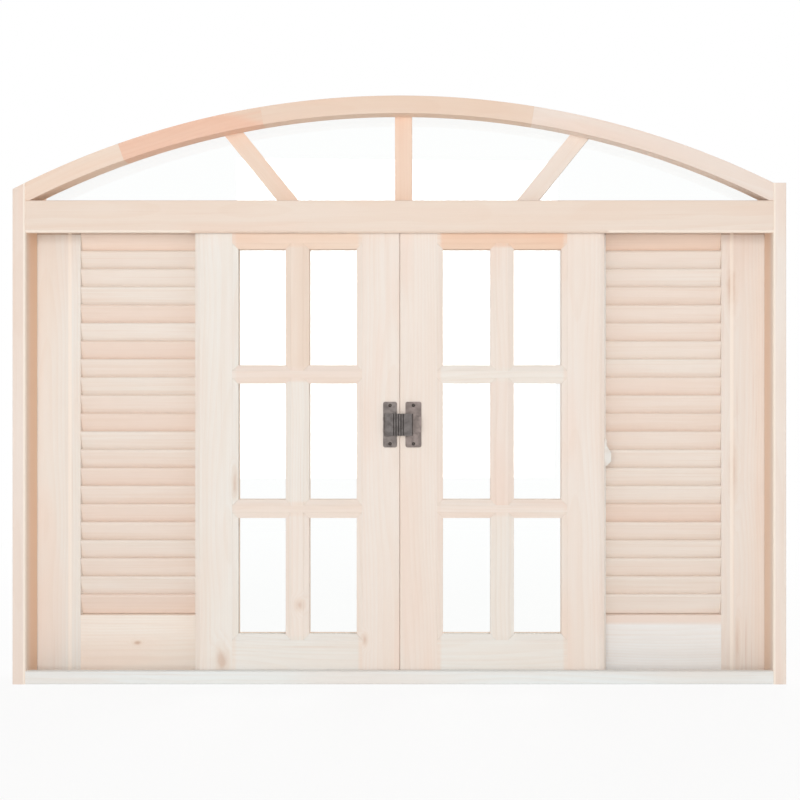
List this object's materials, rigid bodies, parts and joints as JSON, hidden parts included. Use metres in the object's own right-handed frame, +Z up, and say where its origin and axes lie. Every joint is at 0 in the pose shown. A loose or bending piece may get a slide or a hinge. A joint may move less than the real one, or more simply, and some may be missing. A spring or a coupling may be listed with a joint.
{
  "type": "arched shuttered window",
  "caption": "Wooden window under a segmental arched fanlight, with fixed louvred shutters at the sides and glazed sashes that slide apart in front of them, closed by a small slide bolt.",
  "frame": {"origin": "middle of the sill's underside, on the floor", "axes": "+X to the right seen from the room, +Y through the window to the outside, +Z up"},
  "size_m": [1.5, 0.12, 1.141],
  "materials": {
    "frame_wood": "bare planed softwood",
    "arch_wood": "bare planed softwood",
    "shutter_wood": "bare planed softwood",
    "slat_wood": "bare planed softwood",
    "sash_wood": "bare planed softwood",
    "bead_wood": "bare planed softwood",
    "glass": "clear float glass",
    "track_aluminium": "mill finish",
    "latch_metal": "dark grey zinc, worn at the edges",
    "screw_steel": "dull zinc-plated steel",
    "nylon": "natural white nylon"
  },
  "bodies": {
    "frame": {"sill": "frame_wood", "left_jamb": "frame_wood", "right_jamb": "frame_wood", "transom": "frame_wood", "arch_left_end": "arch_wood", "arch_left": "arch_wood", "arch_crown": "arch_wood", "arch_right": "arch_wood", "left_spoke": "arch_wood", "centre_spoke": "arch_wood", "right_spoke": "arch_wood", "fanlight_pane": "glass", "fanlight_arch_bead": "bead_wood", "fanlight_base_bead": "bead_wood", "sill_track": "track_aluminium", "sill_filler": "frame_wood", "head_filler": "frame_wood", "left_shutter_outer_stile": "shutter_wood", "left_shutter_inner_stile": "shutter_wood", "left_shutter_top_rail": "shutter_wood", "left_shutter_bottom_rail": "shutter_wood", "left_shutter_slats": "slat_wood", "right_shutter_outer_stile": "shutter_wood", "right_shutter_inner_stile": "shutter_wood", "right_shutter_top_rail": "shutter_wood", "right_shutter_bottom_rail": "shutter_wood", "right_shutter_slats": "slat_wood"},
    "left_sash": {"left_sash_outer_stile": "sash_wood", "left_sash_meeting_stile": "sash_wood", "left_sash_top_rail": "sash_wood", "left_sash_bottom_rail": "sash_wood", "left_sash_upper_bar": "sash_wood", "left_sash_lower_bar": "sash_wood", "left_sash_top_upright": "sash_wood", "left_sash_middle_upright": "sash_wood", "left_sash_bottom_upright": "sash_wood", "left_sash_panes": "glass", "left_sash_beads": "bead_wood", "left_sash_glides": "nylon", "latch_base": "latch_metal", "latch_base_screws": "screw_steel"},
    "right_sash": {"right_sash_outer_stile": "sash_wood", "right_sash_meeting_stile": "sash_wood", "right_sash_top_rail": "sash_wood", "right_sash_bottom_rail": "sash_wood", "right_sash_upper_bar": "sash_wood", "right_sash_lower_bar": "sash_wood", "right_sash_top_upright": "sash_wood", "right_sash_middle_upright": "sash_wood", "right_sash_bottom_upright": "sash_wood", "right_sash_panes": "glass", "right_sash_beads": "bead_wood", "right_sash_glides": "nylon", "latch_keeper": "latch_metal", "latch_keeper_screws": "screw_steel", "sash_buffer": "nylon"},
    "latch_bolt": {"latch_bolt": "latch_metal"}
  },
  "joints": [
    {"name": "left_sash_slide", "type": "slide", "parent": "frame", "child": "left_sash", "axis": [-1, 0, 0], "range_m": [0, 0.322]},
    {"name": "right_sash_slide", "type": "slide", "parent": "frame", "child": "right_sash", "axis": [1, 0, 0], "range_m": [0, 0.308]},
    {"name": "bolt_slide", "type": "slide", "parent": "left_sash", "child": "latch_bolt", "axis": [-1, 0, 0], "range_m": [0, 0.012]}
  ]
}
